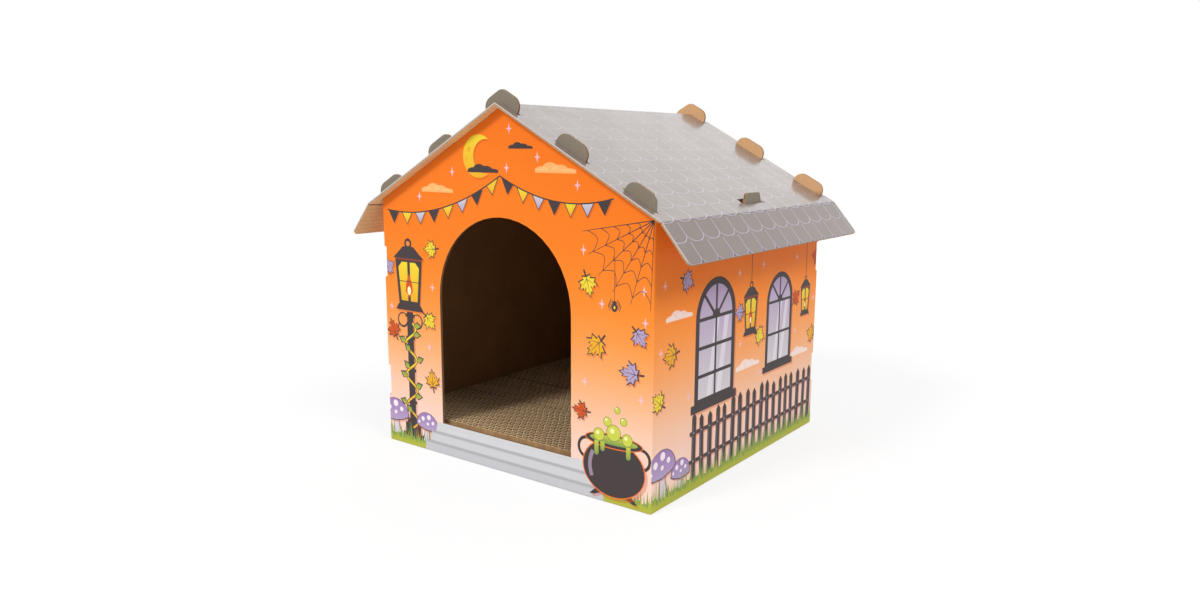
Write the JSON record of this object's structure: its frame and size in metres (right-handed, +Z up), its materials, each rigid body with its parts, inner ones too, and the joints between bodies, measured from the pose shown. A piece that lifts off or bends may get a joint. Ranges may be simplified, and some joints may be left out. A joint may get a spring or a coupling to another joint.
{
  "type": "cat scratcher house",
  "caption": "Folded cardboard cat house with an arched doorway, a lift-off pitched roof and a corrugated scratch pad for its floor.",
  "frame": {"origin": "middle of the footprint, on the surface the house stands on", "axes": "+Z up, doorway towards -Y, roof ridge along Y, +X to the right of the doorway"},
  "size_m": [0.4944, 0.418, 0.4335],
  "materials": {
    "printed_wall_board": "satin print on corrugated board",
    "printed_roof_board": "gloss print on corrugated board",
    "kraft_board": "bare kraft paper",
    "corrugated_strips": "cut edges of corrugated board"
  },
  "bodies": {
    "walls": {"front_wall": "printed_wall_board", "right_wall": "printed_wall_board", "back_wall": "printed_wall_board", "left_wall": "printed_wall_board", "front_floor_flap": "kraft_board", "right_floor_flap": "kraft_board", "back_floor_flap": "kraft_board", "left_floor_flap": "kraft_board", "front_left_corner_flap": "kraft_board", "back_right_corner_flap": "kraft_board", "front_lower_tongue": "kraft_board", "front_upper_tongue": "kraft_board", "right_lower_tongue": "kraft_board", "right_upper_tongue": "kraft_board"},
    "roof_left": {"left_roof_slope": "printed_roof_board"},
    "roof_right": {"right_roof_slope": "printed_roof_board"},
    "flap_left": {"left_eave_flap": "printed_roof_board"},
    "flap_right": {"right_eave_flap": "printed_roof_board"},
    "scratch_pad": {"scratch_strip_01": "corrugated_strips", "scratch_strip_02": "corrugated_strips", "scratch_strip_03": "corrugated_strips", "scratch_strip_04": "corrugated_strips", "scratch_strip_05": "corrugated_strips", "scratch_strip_06": "corrugated_strips", "scratch_strip_07": "corrugated_strips", "scratch_strip_08": "corrugated_strips", "scratch_strip_09": "corrugated_strips", "scratch_strip_10": "corrugated_strips", "scratch_strip_11": "corrugated_strips", "scratch_strip_12": "corrugated_strips", "scratch_strip_13": "corrugated_strips", "scratch_strip_14": "corrugated_strips", "scratch_strip_15": "corrugated_strips", "scratch_strip_16": "corrugated_strips", "scratch_strip_17": "corrugated_strips", "scratch_strip_18": "corrugated_strips", "scratch_strip_19": "corrugated_strips", "scratch_strip_20": "corrugated_strips", "scratch_strip_21": "corrugated_strips", "scratch_strip_22": "corrugated_strips", "scratch_strip_23": "corrugated_strips", "scratch_strip_24": "corrugated_strips", "scratch_strip_block_1": "corrugated_strips", "scratch_strip_block_2": "corrugated_strips", "scratch_strip_block_3": "corrugated_strips"}
  },
  "joints": [
    {"name": "roof_lift", "type": "slide", "parent": "walls", "child": "roof_left", "axis": [0, 0, 1], "range_m": [0, 0.18]},
    {"name": "ridge_fold", "type": "hinge", "parent": "roof_left", "child": "roof_right", "pos_m": [0, 0, 0.41949], "axis": [0, -1, 0], "range_deg": [0, 55]},
    {"name": "right_eave_fold", "type": "hinge", "parent": "roof_right", "child": "flap_right", "pos_m": [0.2149, 0, 0.30329], "axis": [0, -1, 0], "range_deg": [-35, 21.8]},
    {"name": "left_eave_fold", "type": "hinge", "parent": "roof_left", "child": "flap_left", "pos_m": [-0.2149, 0, 0.30329], "axis": [0, 1, 0], "range_deg": [-35, 21.8]},
    {"name": "pad_lift", "type": "slide", "parent": "walls", "child": "scratch_pad", "axis": [0, 0, 1], "range_m": [0, 0.24]}
  ]
}
